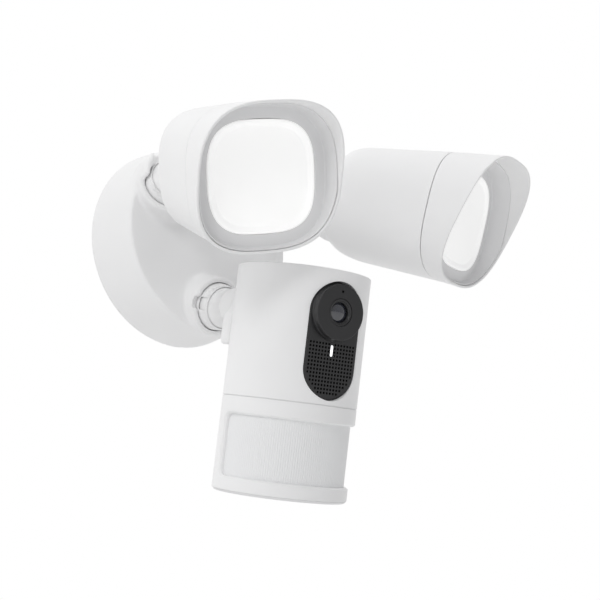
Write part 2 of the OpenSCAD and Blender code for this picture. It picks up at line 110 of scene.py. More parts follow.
def in_socket(arm):
    at, tilt = radians(ARMS[arm]["at"]), radians(SOCKET_TILT)
    yaw = degrees(atan2(cos(at) * sin(tilt), cos(tilt)))
    rise = degrees(asin(sin(at) * sin(tilt)))
    return ball_place(arm) @ turn("Z", yaw) @ turn("X", 90 - rise)


def in_lamp(arm):
    shift = STEM_REACH * tan(radians(ARMS[arm]["turn"]))
    return in_arm(arm) @ move(shift, -STEM_REACH, LAMP_LIFT)


def in_camera():
    return in_arm("camera") @ move(0, -(CAM_R + CAM_REACH), CAM_LIFT)


WALL_FRAME = turn("X", 90)
CAMERA_FACE = in_camera() @ move(0, 0, -LENS_MID) @ turn("X", 90)


# ---------------------------------------------------------------- materials
def node_tree(name):
    mat = bpy.data.materials.new(name)
    mat.use_nodes = True
    tree = mat.node_tree
    tree.nodes.clear()
    out = tree.nodes.new("ShaderNodeOutputMaterial")
    shader = tree.nodes.new("ShaderNodeBsdfPrincipled")
    tree.links.new(shader.outputs["BSDF"], out.inputs["Surface"])
    return mat, tree, shader


def add(tree, kind, **values):
    node = tree.nodes.new(kind)
    for key, value in values.items():
        setattr(node, key, value)
    return node


def noise(tree, scale, detail=3.0, stretch=(1, 1, 1)):
    """Noise in the piece's own space, in features per metre."""
    place = add(tree, "ShaderNodeTexCoord")
    mapping = add(tree, "ShaderNodeMapping")
    mapping.inputs["Scale"].default_value = stretch
    field = add(tree, "ShaderNodeTexNoise")
    field.inputs["Scale"].default_value = scale
    field.inputs["Detail"].default_value = detail
    tree.links.new(place.outputs["Object"], mapping.inputs["Vector"])
    tree.links.new(mapping.outputs["Vector"], field.inputs["Vector"])
    return field.outputs["Fac"]


def spread(tree, source, low, high):
    ranged = add(tree, "ShaderNodeMapRange")
    ranged.inputs["From Min"].default_value = 0.3
    ranged.inputs["From Max"].default_value = 0.7
    ranged.inputs["To Min"].default_value = low
    ranged.inputs["To Max"].default_value = high
    tree.links.new(source, ranged.inputs["Value"])
    return ranged.outputs["Result"]


def tint(tree, source, dark, light):
    ramp = add(tree, "ShaderNodeValToRGB")
    ramp.color_ramp.elements[0].position = 0.3
    ramp.color_ramp.elements[0].color = (*dark, 1)
    ramp.color_ramp.elements[1].position = 0.7
    ramp.color_ramp.elements[1].color = (*light, 1)
    tree.links.new(source, ramp.inputs["Fac"])
    return ramp.outputs["Color"]


def bump(tree, shader, source, depth):
    """Raises the surface by depth metres."""
    node = add(tree, "ShaderNodeBump")
    node.inputs["Distance"].default_value = depth
    node.inputs["Strength"].default_value = 1.0
    tree.links.new(source, node.inputs["Height"])
    tree.links.new(node.outputs["Normal"], shader.inputs["Normal"])


def moulded(name, colour, rough, grain=2200, depth=0.00002, shade=0.012):
    """Injection-moulded plastic: a fine spark-eroded grain and faint flow tones."""
    mat, tree, shader = node_tree(name)
    flow = noise(tree, 22, 2)
    light = tuple(min(1.0, c * (1 + shade)) for c in colour)
    dark = tuple(c * (1 - shade) for c in colour)
    tree.links.new(tint(tree, flow, dark, light), shader.inputs["Base Color"])
    tree.links.new(spread(tree, noise(tree, 160, 4), rough - 0.03, rough + 0.04), shader.inputs["Roughness"])
    shader.inputs["Specular IOR Level"].default_value = 0.5
    bump(tree, shader, noise(tree, grain, 2), depth)
    return mat


def metal(name, colour, rough, stretch=(1, 1, 1), grain=900):
    """Rolled or extruded metal with drawn lines along one way."""
    mat, tree, shader = node_tree(name)
    lines = noise(tree, grain, 4, stretch)
    dark = tuple(c * 0.86 for c in colour)
    tree.links.new(tint(tree, lines, dark, colour), shader.inputs["Base Color"])
    tree.links.new(spread(tree, lines, rough, rough + 0.14), shader.inputs["Roughness"])
    shader.inputs["Metallic"].default_value = 1.0
    bump(tree, shader, lines, 0.00002)
    return mat


def lit(name, colour, glow, rough=0.35):
    """Opal plastic with light behind it."""
    mat, tree, shader = node_tree(name)
    cloud = noise(tree, 70, 3)
    dark = tuple(c * 0.97 for c in colour)
    tree.links.new(tint(tree, cloud, dark, colour), shader.inputs["Base Color"])
    tree.links.new(spread(tree, cloud, rough, rough + 0.06), shader.inputs["Roughness"])
    shader.inputs["Emission Color"].default_value = (*colour, 1)
    shader.inputs["Emission Strength"].default_value = glow
    bump(tree, shader, noise(tree, 2600, 2), 0.00001)
    return mat


def circuit(name, colour):
    """Solder mask over copper tracks."""
    mat, tree, shader = node_tree(name)
    place = add(tree, "ShaderNodeTexCoord")
    tracks = add(tree, "ShaderNodeTexBrick")
    tracks.inputs["Scale"].default_value = 220
    tracks.inputs["Mortar Size"].default_value = 0.012
    tracks.inputs["Color1"].default_value = (*colour, 1)
    tracks.inputs["Color2"].default_value = (*(c * 1.12 for c in colour), 1)
    tracks.inputs["Mortar"].default_value = (*(c * 1.7 for c in colour), 1)
    tree.links.new(place.outputs["Object"], tracks.inputs["Vector"])
    tree.links.new(tracks.outputs["Color"], shader.inputs["Base Color"])
    tree.links.new(spread(tree, noise(tree, 300), 0.3, 0.42), shader.inputs["Roughness"])
    bump(tree, shader, tracks.outputs["Fac"], 0.00003)
    return mat


def lens_coating(name):
    mat, tree, shader = node_tree(name)
    sheen = noise(tree, 240, 2)
    tree.links.new(tint(tree, sheen, (0.012, 0.014, 0.022), (0.02, 0.022, 0.034)), shader.inputs["Base Color"])
    tree.links.new(spread(tree, sheen, 0.02, 0.05), shader.inputs["Roughness"])
    shader.inputs["Coat Weight"].default_value = 1.0
    shader.inputs["Coat Roughness"].default_value = 0.02
    shader.inputs["Specular IOR Level"].default_value = 0.9
    return mat


finish = {
    "shell_white": moulded("satin_white_moulding", (0.86, 0.86, 0.862), 0.42),
    "trim_grey": moulded("matte_grey_moulding", (0.78, 0.78, 0.785), 0.55),
    "seal_black": moulded("black_rubber", (0.022, 0.022, 0.023), 0.75, grain=1500, depth=0.00004, shade=0.15),
    "plated_steel": metal("zinc_plated_steel", (0.62, 0.63, 0.64), 0.28, (1, 1, 6)),
    "heat_sink_alloy": metal("extruded_alloy", (0.74, 0.75, 0.76), 0.34, (1, 8, 1)),
    "circuit_board": circuit("solder_mask_green", (0.02, 0.12, 0.05)),
    "component_grey": moulded("component_grey", (0.16, 0.16, 0.165), 0.5),
    "friction_liner": moulded("friction_liner", (0.09, 0.09, 0.092), 0.6),
    "led_board_white": moulded("white_solder_mask", (0.85, 0.85, 0.83), 0.35),
    "led_phosphor": lit("led_phosphor", (0.95, 0.80, 0.35), 1.5),
    "diffuser_white": lit("lit_opal_lens", (0.95, 0.95, 0.945), 0.27),
    "plate_black": moulded("satin_black_plate", (0.018, 0.018, 0.019), 0.36, grain=2600, depth=0.00001, shade=0.1),
    "lens_glass": lens_coating("coated_lens_glass"),
    "window_plastic": moulded("sensor_window", (0.83, 0.835, 0.84), 0.5, grain=3200),
    "light_pipe": lit("lit_status_light", (0.98, 0.99, 1.0), 1.1),
}
# painted shade: a near-black matte finish for the insides of holes, standing in for the shade that falls in them
shade_painted_bore = moulded("shade_painted_bore", (0.006, 0.006, 0.006), 0.9)


# ---------------------------------------------------------------- meshes
def new_piece(name, points, faces, place, body, slot, stands_for=(), material=None, outward=True, sharp=34):
    """Makes one finished piece from points in millimetres and says what it belongs to."""
    mesh = bpy.data.meshes.new(name)
    mesh.from_pydata(np.asarray(points, float).tolist(), [], [list(map(int, f)) for f in faces])
    work = bmesh.new()
    work.from_mesh(mesh)
    bmesh.ops.remove_doubles(work, verts=work.verts, dist=0.0005)
    if outward:
        bmesh.ops.recalc_face_normals(work, faces=work.faces)
    work.to_mesh(mesh)
    work.free()
    mesh.transform(Matrix.Scale(0.001, 4) @ place)
    mesh.shade_smooth()
    mesh.set_sharp_from_angle(angle=radians(sharp))
    mesh.materials.append(material or finish[slot])
    piece = bpy.data.objects.new(name, mesh)
    bpy.context.scene.collection.objects.link(piece)
    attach(piece, body)
    if stands_for:
        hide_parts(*stands_for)
    return piece


def eased(rows, closed=False, steps=4):
    """Rows with rounded corners. Each row ends in the length its corner is eased over."""
    points = [np.array(r[:-1], float) for r in rows]
    out = []
    for i, (p, ease) in enumerate(zip(points, [r[-1] for r in rows])):
        if ease <= 0 or (not closed and i in (0, len(rows) - 1)):
            out.append(p)
            continue
        back, ahead = points[i - 1] - p, points[(i + 1) % len(rows)] - p
        back_len, ahead_len = np.linalg.norm(back), np.linalg.norm(ahead)
        reach = min(ease, 0.48 * back_len, 0.48 * ahead_len)
        start, end = p + back / back_len * reach, p + ahead / ahead_len * reach
        for j in range(steps + 1):
            u = j / steps
            out.append((1 - u) ** 2 * start + 2 * u * (1 - u) * p + u * u * end)
    return out


def weave(rows, wrap=True, loop=False):
    """Quads over a grid of points: wrap joins each row's ends, loop joins the last row to the first."""
    rows = np.asarray(rows, float)
    m, n = rows.shape[:2]
    faces = []
    for i in range(m if loop else m - 1):
        k = (i + 1) % m
        for j in range(n if wrap else n - 1):
            q = (j + 1) % n
            faces.append((i * n + j, i * n + q, k * n + q, k * n + j))
    return rows.reshape(-1, 3), faces


def turned(profile, steps=144, loop=False):
    """Turned surface about Z from (radius, height) rows."""
    angles = np.linspace(0, 2 * pi, steps, endpoint=False)
    rows = [np.stack([r * np.cos(angles), r * np.sin(angles), np.full(steps, z)], 1) for r, z in profile]
    return weave(rows, loop=loop)


def outline(half, steps=160, square=LAMP_SQUARE):
    a = np.linspace(0, 2 * pi, steps, endpoint=False)
    c, s = np.cos(a), np.sin(a)
    q = half * (np.abs(c) ** square + np.abs(s) ** square) ** (-1 / square)
    return q * c, q * s


def lamp_half(s):
    return BACK_HALF + (FRONT_HALF - BACK_HALF) * s / LAMP_LEN


def lamp_skin(rows, loop=False, square=LAMP_SQUARE):
    """Skin through squared-round rows of (half width, distance from the back, lean)."""
    out = []
    for half, s, lean in rows:
        x, z = outline(half, square=square)
        out.append(np.stack([x, -(s + lean * z), z], 1))
    return weave(out, loop=loop)


def joined(*parts):
    points, faces, start = [], [], 0
    for p, f in parts:
        points.append(np.asarray(p, float))
        faces += [tuple(i + start for i in face) for face in f]
        start += len(p)
    return np.concatenate(points), faces


# ---------------------------------------------------------------- moulded forms from distance fields
def soft_min(a, b, r):
    h = np.clip(0.5 + 0.5 * (b - a) / r, 0, 1)
    return b * (1 - h) + a * h - r * h * (1 - h)


def soft_max(a, b, r):
    return -soft_min(-a, -b, r)


def slab(v, low, high):
    return np.abs(v - (low + high) / 2) - (high - low) / 2


def drum(p, r, low, high, edge):
    return soft_max(np.hypot(p[..., 0], p[..., 1]) - r, slab(p[..., 2], low, high), edge)


def block(p, low, high, edge):
    d = slab(p[..., 0], low[0], high[0])
    for i in (1, 2):
        d = soft_max(d, slab(p[..., i], low[i], high[i]), edge)
    return d


def local(p, place):
    inverse = np.array(place.inverted())
    return p @ inverse[:3, :3].T + inverse[:3, 3]


def form(field, low, high, step):
    """Quads on the zero level of a distance field, one point in each grid cell that it crosses."""
    low, high = np.array(low, float), np.array(high, float)
    counts = np.ceil((high - low) / step).astype(int) + 1
    axes = [low[i] + step * np.arange(counts[i]) for i in range(3)]
    inside = np.empty(counts, bool)
    for i, x in enumerate(axes[0]):
        sheet = np.stack(np.meshgrid([x], axes[1], axes[2], indexing="ij"), -1)[0]
        inside[i] = field(sheet) < 0
    mixed = np.zeros(counts - 1, int)
    for a in (0, 1):
        for b in (0, 1):
            for c in (0, 1):
                mixed += inside[a:counts[0] - 1 + a, b:counts[1] - 1 + b, c:counts[2] - 1 + c]
    crossed = (mixed > 0) & (mixed < 8)
    index = np.full(crossed.shape, -1)
    index[crossed] = np.arange(crossed.sum())
    centres = low + step * (np.argwhere(crossed) + 0.5)
    points = centres.copy()
    for _ in range(4):
        d = field(points)
        slope = np.stack([
            field(points + step * 0.02 * np.eye(3)[i]) - field(points - step * 0.02 * np.eye(3)[i])
            for i in range(3)
        ], 1) / (step * 0.04)
        size = np.maximum((slope ** 2).sum(1), 0.05)
        points -= slope * (d / size)[:, None]
        points = np.clip(points, centres - 0.75 * step, centres + 0.75 * step)
    faces = []
    for axis in range(3):
        others = [i for i in range(3) if i != axis]
        a = np.moveaxis(inside, axis, 0)
        change = a[:-1] != a[1:]
        change = np.moveaxis(change, 0, axis)
        starts = np.argwhere(change)
        keep = np.all([(starts[:, o] > 0) & (starts[:, o] < counts[o] - 1) for o in others], 0)
        starts = starts[keep]
        cells = []
        for du, dv in ((0, 0), (1, 0), (1, 1), (0, 1)):
            s = starts.copy()
            s[:, others[0]] -= du
            s[:, others[1]] -= dv
            cells.append(index[tuple(s.T)])
        faces.append(np.stack(cells, 1))
    return points, np.concatenate(faces)


# ---------------------------------------------------------------- canopy
def boss(p, arm):
    return drum(local(p, in_socket(arm)), BOSS_R, -17, -1.5, 2.8)


def canopy_field(p):
    out, rho = -p[..., 1], np.hypot(p[..., 0], p[..., 2])
    draft = (BASE_R - BASE_FRONT_R) / (BASE_DEPTH - GASKET_T)
    side = (rho - BASE_R + draft * (out - GASKET_T)) * 0.994
    solid = soft_max(side, out - BASE_DEPTH, 2.0)
    for arm in ARMS:
        solid = soft_min(solid, boss(p, arm), 3.4)
    for arm in LAMPS:
        q = local(p, in_socket(arm))
        cradle = soft_max(np.hypot(q[..., 0], q[..., 1]) - CRADLE_R, slab(q[..., 2], -14, 6.5), 1.6)
        cradle = soft_max(cradle, np.abs(q[..., 0]) - BOSS_R + 1.7, 2.0)
        cradle = soft_max(cradle, soft_max(-q[..., 1], rho - BASE_R - 2, 2.0), 2.0)
        solid = soft_min(solid, cradle, 3.5)
        slot = block(q, (-CRADLE_SLOT / 2, 6, -7.9), (CRADLE_SLOT / 2, 60, 30), 2.0)
        solid = soft_max(solid, -slot, 1.4)
    notch = local(p, in_socket("camera"))
    solid = soft_max(solid, -block(notch, (-18.4, -NOTCH_W / 2, -4.4), (-10, NOTCH_W / 2, 9), 2.2), 0.8)
    for arm in ARMS:
        q = local(p, in_socket(arm))
        bore = np.minimum(drum(q, COLLAR_R + 0.14, -8, 60, 0.3), np.linalg.norm(q, axis=-1) - SEAT_R)
        bore = np.minimum(bore, drum(q, WIRE_R + 1, -40, 0, 0.3))
        solid = soft_max(solid, -bore, 0.5)
    hollow = soft_max(side + BASE_WALL, out - BASE_DEPTH + BASE_WALL, 2.5)
    for arm in ARMS:
        hollow = np.maximum(hollow, -drum(local(p, in_socket(arm)), BOSS_R + 1.6, -17, 0, 2.0))
    solid = soft_max(solid, -hollow, 0.6)
    hole = soft_max(np.hypot(p[..., 0], p[..., 1] + 12) - 2.3, 50 - p[..., 2], 0.3)
    solid = soft_max(solid, -hole, 0.7)
    return soft_max(solid, GASKET_T - out, 0.6)


step = 0.86
points, faces = form(canopy_field, (-70, -58, -69), (70, 1, 69), step)
new_piece("canopy_skin", points, faces, Matrix(), "base", "shell_white", ["canopy"], sharp=50)


# ---------------------------------------------------------------- ball joints
def collar_field(notch_turn):
    lean = turn("Z", notch_turn)

    def field(q):
        r = np.hypot(q[..., 0], q[..., 1])
        z = q[..., 2]
        solid = soft_max(r - COLLAR_R, 0.935 * (r - COLLAR_R) + 0.354 * (z - 1.4), 2.0)
        solid = soft_max(solid, slab(z, -7.6, 5.3), 0.9)
        solid = soft_max(solid, BALL_R + GAP - np.linalg.norm(q, axis=-1), 0.5)
        solid = np.maximum(solid, -drum(q, 11.4, -9, -1, 0.3))
        notch = block(local(q, lean), (0, -NOTCH_W / 2, -2.6), (40, NOTCH_W / 2, 3.3), 1.2)
        return soft_max(solid, -notch, 0.8)

    return field


for arm in ARMS:
    points, faces = form(collar_field(180 if arm == "camera" else 90), (-15.5, -15.5, -8.4), (15.5, 15.5, 6.2), 0.36)
    new_piece(f"{arm}_collar_ring", points, faces, in_socket(arm), f"{arm}_clamp", "shell_white",
              [f"{arm}_collar"], sharp=50)

    back, front = asin(WIRE_R / BALL_R), pi - asin(STEM_R / BALL_R)
    ball = [(BALL_R * sin(a), -BALL_R * cos(a), 0) for a in np.linspace(back, front - 0.05, 60)]
    stem_profile = eased(
        ball + [(STEM_R, BALL_R * cos(pi - front), 1.6), (STEM_R, STEM_LEN, 0.6), (WIRE_R, STEM_LEN, 0.4),
                (WIRE_R, -BALL_R * cos(back), 0)])
    points, faces = turned(stem_profile, loop=True)
    new_piece(f"{arm}_ball_and_stem", points, faces, in_stem(arm), f"{arm}_arm", "shell_white", [f"{arm}_ball_arm"])


# ---------------------------------------------------------------- lamps
def rear_rows(inset, steps):
    rows = []
    for a in np.linspace(pi / 2, 0, steps):
        s = inset + (BACK_ROUND - inset) * (1 - sin(a))
        rows.append((lamp_half(s) - BACK_ROUND + (BACK_ROUND - inset) * cos(a), s, 0.0))
    return rows


for side in LAMPS:
    place, body = in_lamp(side), f"{side}_lamp"
    edge = HOOD_FROM
    shell = [(0.0, 0.0, 0.0), (4.0, 0.0, 0.0)] + rear_rows(0, 26)
    shell += [(lamp_half(s), s, 0.0) for s in np.linspace(BACK_ROUND + 6, edge - 1, 9)]
    shell += eased([(lamp_half(edge - 1), edge - 1, 0, 0), (lamp_half(edge), edge, 0, 0.45),
                    (lamp_half(edge) - LAMP_WALL, edge, 0, 0.3), (lamp_half(edge - 3) - LAMP_WALL, edge - 3, 0, 0)])
    shell += rear_rows(LAMP_WALL, 9)[::-1] + [(0.0, LAMP_WALL, 0.0)]
    new_piece(f"{side}_lamp_housing", *lamp_skin(shell), place, body, "shell_white", [f"{side}_rear_housing"])

    back, tongue = edge + 0.45, edge - 5
    hood = [(lamp_half(back), back, 0, 0.45)]
    hood += [(lamp_half(s), s, HOOD_LEAN * (s - back) / (LAMP_LEN - back), 0)
             for s in np.linspace(back + 2, LAMP_LEN - 2, 9)]
    hood += [(FRONT_HALF, LAMP_LEN, HOOD_LEAN, 0.7), (FRONT_HALF - HOOD_WALL, LAMP_LEN, HOOD_LEAN, 0.7),
             (lamp_half(VISOR_FROM - 5) - HOOD_WALL, VISOR_FROM - 8, 0.5 * HOOD_LEAN, 0),
             (lamp_half(back) - HOOD_WALL - 0.8, back + 1, 0, 0.4),
             (lamp_half(tongue) - LAMP_WALL - 2, tongue, 0, 0.3),
             (lamp_half(tongue) - LAMP_WALL - 0.4, tongue, 0, 0.3),
             (lamp_half(back) - LAMP_WALL - 0.4, back, 0, 0)]
    new_piece(f"{side}_lamp_hood", *lamp_skin(eased(hood, closed=True), loop=True), place, body, "shell_white",
              [f"{side}_hood"])

    frame_half = lamp_half(BEZEL_AT) - HOOD_WALL
    visor_half = lamp_half(VISOR_FROM) - HOOD_WALL
    bezel = [(frame_half - 0.5, BEZEL_AT - 1.6, 0, 0.3), (visor_half - 0.15, LAMP_LEN - 1.2, HOOD_LEAN, 0.25),
             (visor_half - 0.75, LAMP_LEN - 1.2, HOOD_LEAN, 0.25), (frame_half - 1.1, BEZEL_AT, 0, 1.2),
             (DIFFUSER_HALF + 0.35, BEZEL_AT + 1.3, 0, 0.5), (DIFFUSER_HALF + 0.35, BEZEL_AT - 1.6, 0, 0.3)]
    points, faces = lamp_skin(eased(bezel, closed=True), loop=True)
    points[:, 1] = np.maximum(points[:, 1], -VISOR_FROM)
    new_piece(f"{side}_lamp_bezel", points, faces, place, body, "trim_grey", [f"{side}_bezel"])

    d, field_half = DIFFUSER_AT, DIFFUSER_HALF - 3.6
    lens = [(0, d, 0, 0), (DIFFUSER_HALF, d, 0, 0.3), (DIFFUSER_HALF, d + 4.4, 0, 0.8),
            (DIFFUSER_HALF - 1.3, d + 4.6, 0, 0.8), (field_half, d + 3.2, 0, 0.4)]
    lens += [(field_half * u, d + 3.2 + 1.0 * (1 - u * u), 0, 0) for u in np.linspace(0.96, 0, 12)]
    new_piece(f"{side}_lamp_lens", *lamp_skin(eased(lens), square=3.15), place, body, "diffuser_white",
              [f"{side}_diffuser"])

    neck = eased([(STEM_R + FIT, 31, 0.4), (9.5, 31, 0.9), (9.5, 41.5, 5), (13.4, 49.5, 4), (13.4, 60, 0.5),
                  (WIRE_R + 1, 60, 0.3), (WIRE_R + 1, STEM_LEN + GAP, 0.3), (STEM_R + FIT, STEM_LEN + GAP, 0.3)],
                 closed=True)
    new_piece(f"{side}_lamp_neck", *turned(neck, loop=True), in_stem(side), body, "shell_white", [f"{side}_neck"])


# ---------------------------------------------------------------- camera
def around(u, z, r=CAM_R):
    """A flat pattern wrapped round the camera: u runs along the surface, to the right of the front."""
    a = np.asarray(u, float) / CAM_R
    r = np.broadcast_to(np.asarray(r, float), a.shape)
    return np.stack([r * np.sin(a), -r * np.cos(a), np.broadcast_to(np.asarray(z, float), a.shape)], -1)


def pill(grow, steps=28):
    """Outline of the front plate, anticlockwise seen from outside."""
    w = PLATE_W / 2 + grow
    low = -(2 * PLATE_MID - LENS_MID)
    top_arc = [(w * cos(a), -LENS_MID + w * sin(a)) for a in np.linspace(0, pi, steps)]
    low_arc = [(w * cos(a), low + w * sin(a)) for a in np.linspace(pi, 2 * pi, steps)]
    runs = 12
    left = [(-w, -LENS_MID + (low + LENS_MID) * t / runs) for t in range(1, runs)]
    right = [(w, low - (low + LENS_MID) * t / runs) for t in range(1, runs)]
    return top_arc + left + low_arc + right


def in_pill(u, z, grow=0.0):
    low = -(2 * PLATE_MID - LENS_MID)
    nearest = np.clip(z, low, -LENS_MID)
    return np.hypot(u, z - nearest) < PLATE_W / 2 + grow


def circle(u, z, r, steps=64):
    return [(u + r * cos(a), z + r * sin(a)) for a in np.linspace(0, 2 * pi, steps, endpoint=False)]


def rounded_box(u, z, w, h, r, steps=5):
    out = []
    cx, cz = w / 2 - r, h / 2 - r
    for x, y, start in ((cx, cz, 0), (-cx, cz, 90), (-cx, -cz, 180), (cx, -cz, 270)):
        out += [(u + x + r * cos(radians(start + a)), z + y + r * sin(radians(start + a)))
                for a in np.linspace(0, 90, steps)]
    return out


def cut_sheet(loops, fill, keep):
    """Triangles over a flat region: loops are its edges, fill the points inside, keep says which triangles stay."""
    points, edges = [], []
    for loop in loops:
        n = len(points)
        points += loop
        edges += [(n + i, n + (i + 1) % len(loop)) for i in range(len(loop))]
    points += list(fill)
    flat, _, triangles, *_ = delaunay_2d_cdt([Vector(p) for p in points], edges, [], 0, 1e-5)
    flat = np.array([tuple(v) for v in flat])
    triangles = np.array(triangles)
    middle = flat[triangles].mean(1)
    return flat, triangles[keep(middle[:, 0], middle[:, 1])]


def flat_sheet(points, triangles, depth):
    """The flat pattern stood up in the camera's own place, depth in front of its axis."""
    return np.stack([points[:, 0], np.full(len(points), -depth), points[:, 1]], 1), triangles


def straight_wall(outline_at, rows):
    """Wall that follows an outline straight inwards: rows are (grow, depth in front of the axis)."""
    return weave([flat_sheet(np.array(outline_at(g)), [], depth)[0] for g, depth in rows])


def arc(x):
    """Length round the camera's skin from its front to the point straight behind x."""
    return CAM_R * np.arcsin(np.asarray(x, float) / CAM_R)


def repeated(name, unit, spots, place, body, slot, material=None, stands_for=()):
    """Geometry Nodes set one unit on every spot. Unit and spots are in millimetres in the place."""
    material = material or finish[slot]
    shape = bpy.data.meshes.new(f"{name}_unit")
    shape.from_pydata(np.asarray(unit[0], float).tolist(), [], [list(map(int, f)) for f in unit[1]])
    work = bmesh.new()
    work.from_mesh(shape)
    bmesh.ops.remove_doubles(work, verts=work.verts, dist=0.0005)
    bmesh.ops.recalc_face_normals(work, faces=work.faces)
    work.to_mesh(shape)
    work.free()
    one = bpy.data.objects.new(f"{name}_unit", shape)
    cloud = bpy.data.meshes.new(f"{name}_spots")
    cloud.from_pydata([tuple(map(float, s)) for s in spots], [], [])
    host = bpy.data.objects.new(f"{name}_spots", cloud)
    for thing in (one, host):
        bpy.context.scene.collection.objects.link(thing)

    group = bpy.data.node_groups.new(f"{name}_layout", "GeometryNodeTree")
    sockets = {}
    kinds = {"Geometry": "NodeSocketGeometry", "Unit": "NodeSocketObject", "Finish": "NodeSocketMaterial"}
    for label, kind in kinds.items():
        sockets[label] = group.interface.new_socket(label, in_out="INPUT", socket_type=kind)
    group.interface.new_socket("Geometry", in_out="OUTPUT", socket_type="NodeSocketGeometry")
    start, end = group.nodes.new("NodeGroupInput"), group.nodes.new("NodeGroupOutput")
    info = group.nodes.new("GeometryNodeObjectInfo")
    setter = group.nodes.new("GeometryNodeInstanceOnPoints")
    real = group.nodes.new("GeometryNodeRealizeInstances")
    paint = group.nodes.new("GeometryNodeSetMaterial")
    link = group.links.new
    link(start.outputs["Geometry"], setter.inputs["Points"])
    link(start.outputs["Unit"], info.inputs["Object"])
    link(info.outputs["Geometry"], setter.inputs["Instance"])
    link(setter.outputs["Instances"], real.inputs["Geometry"])
    link(real.outputs["Geometry"], paint.inputs["Geometry"])
    link(start.outputs["Finish"], paint.inputs["Material"])
    link(paint.outputs["Geometry"], end.inputs["Geometry"])
    layout = host.modifiers.new("layout", "NODES")
    layout.node_group = group
    layout[sockets["Unit"].identifier] = one
    layout[sockets["Finish"].identifier] = material
    bpy.context.view_layer.update()
    mesh = bpy.data.meshes.new_from_object(host.evaluated_get(bpy.context.evaluated_depsgraph_get()))
    mesh.name = name
    host.modifiers.clear()
    for thing in (one, host):
        bpy.data.objects.remove(thing)
    mesh.transform(Matrix.Scale(0.001, 4) @ place)
    mesh.shade_smooth()
    mesh.set_sharp_from_angle(angle=radians(34))
    if not mesh.materials:
        mesh.materials.append(material)
    piece = bpy.data.objects.new(name, mesh)
    bpy.context.scene.collection.objects.link(piece)
    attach(piece, body)
    if stands_for:
        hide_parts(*stands_for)
    return piece


# body shell, with the opening for the front plate
reach, top, foot = 26.0, -1.6, -CAM_JOINT + GROOVE / 2
open_grow = 0.45
z_rows = np.linspace(foot + 0.5, top, 30)


def on_skin(outline_points):
    return [(float(arc(x)), z) for x, z in outline_points]


def in_opening(u, z, grow):
    return in_pill(CAM_R * np.sin(np.asarray(u) / CAM_R), z, grow)


side_loop = [(-reach, z) for z in z_rows] + [(u, top) for u in np.linspace(-reach, reach, 20)[1:-1]]
side_loop += [(reach, z) for z in z_rows[::-1]] + [(u, foot + 0.5) for u in np.linspace(reach, -reach, 20)[1:-1]]
fill = [(u, z) for u in np.arange(-24, 24.1, 2.2) for z in z_rows[1:-1] if not in_opening(u, z, open_grow + 0.8)]
flat, triangles = cut_sheet([side_loop, on_skin(pill(open_grow))], fill, lambda u, z: ~in_opening(u, z, open_grow))
front_skin = (around(flat[:, 0], flat[:, 1]), triangles)
rest = np.linspace(reach, 2 * pi * CAM_R - reach, 100)
rim_u = np.concatenate([np.linspace(-reach, reach, 20), rest[1:-1]])
back_skin = weave([around(rest, z) for z in z_rows], wrap=False)
crown = eased([(CAM_R, top, 0), (CAM_R, 0, 1.5), (CAM_R - 1.9, 0, 0), (0.0, 0.0, 0)], steps=7)
crown_skin = weave([around(rim_u, z, r) for r, z in crown])
inner_r = CAM_R - CAM_WALL
lip = eased([(CAM_R, foot + 0.5, 0), (CAM_R, foot, 0.35), (inner_r, foot, 0.3), (inner_r, foot + 0.5, 0)])
lip_skin = weave([around(rim_u, z, r) for r, z in lip])
inner_front = (around(flat[:, 0], flat[:, 1], inner_r), triangles[:, ::-1])
inner_back = weave([around(rest, z, inner_r) for z in z_rows[::-1]], wrap=False)
roof = weave([around(rim_u, z, r) for r, z in ((inner_r, top), (0.0, top))])
opening_rows = []
for grow, drop in ((open_grow, 0), (0.26, 0.05), (0.17, 0.2), (0.15, 0.45)):
    x, z = np.array(pill(grow)).T
    opening_rows.append(np.stack([x, -np.sqrt((CAM_R - drop) ** 2 - x * x), z], 1))
opening_rows.append(flat_sheet(np.array(pill(0.15)), [], PLATE_FACE - 2.6)[0])
skins = joined(front_skin, back_skin, crown_skin, lip_skin, inner_front, inner_back, roof, weave(opening_rows))
new_piece("camera_body_skin", *skins, in_camera(), "camera_head", "shell_white", ["camera_shell"])

# front plate with the lens opening, the light slot and the speaker grille
HOLE, PITCH, COLUMNS, ROWS, GRILLE_TOP = 1.2, 2.0, 15, 15, 17.2
LIGHT_AT, LIGHT_W, LIGHT_H = -LENS_MID - 20.6, 1.6, 6.2
grille = [
    (PITCH * (i - (COLUMNS - 1) / 2), -LENS_MID - GRILLE_TOP - PITCH * j)
    for i in range(COLUMNS) for j in range(ROWS)
]
grille = [
    (u, z) for u, z in grille
    if in_pill(u, z, -1.9) and not (abs(u) < 1.9 and z > LIGHT_AT - LIGHT_H / 2 - 1.2)
    and np.hypot(u, z + LENS_MID) > DISC_BASE_R + 0.9
]
lens_hole = circle(0, -LENS_MID, DISC_R + 0.1)
light_slot = rounded_box(0, LIGHT_AT, LIGHT_W, LIGHT_H, 0.78)
holes = [rounded_box(u, z, HOLE, HOLE, 0.22, 2) for u, z in grille]
fill = [(u, z) for u in np.arange(-15, 15.1, PITCH) for z in np.arange(-68.9, -4, PITCH)
        if in_pill(u, z, -1.4) and np.hypot(u, z + LENS_MID) > DISC_R + 1.2
        and not (abs(u) < 2.2 and abs(z - LIGHT_AT) < LIGHT_H / 2 + 1)
        and (z > -LENS_MID - 16 or z < -LENS_MID - 47)]
grid_u, grid_z = np.array(grille).T


def plate_keeps(u, z):
    keep = in_pill(u, z, -0.44) & (np.hypot(u, z + LENS_MID) > DISC_R + 0.1)
    keep &= ~((np.abs(u) < LIGHT_W / 2) & (np.abs(z - LIGHT_AT) < LIGHT_H / 2))
    near = np.maximum(np.abs(u[:, None] - grid_u), np.abs(z[:, None] - grid_z)).min(1)
    return keep & (near > HOLE / 2)


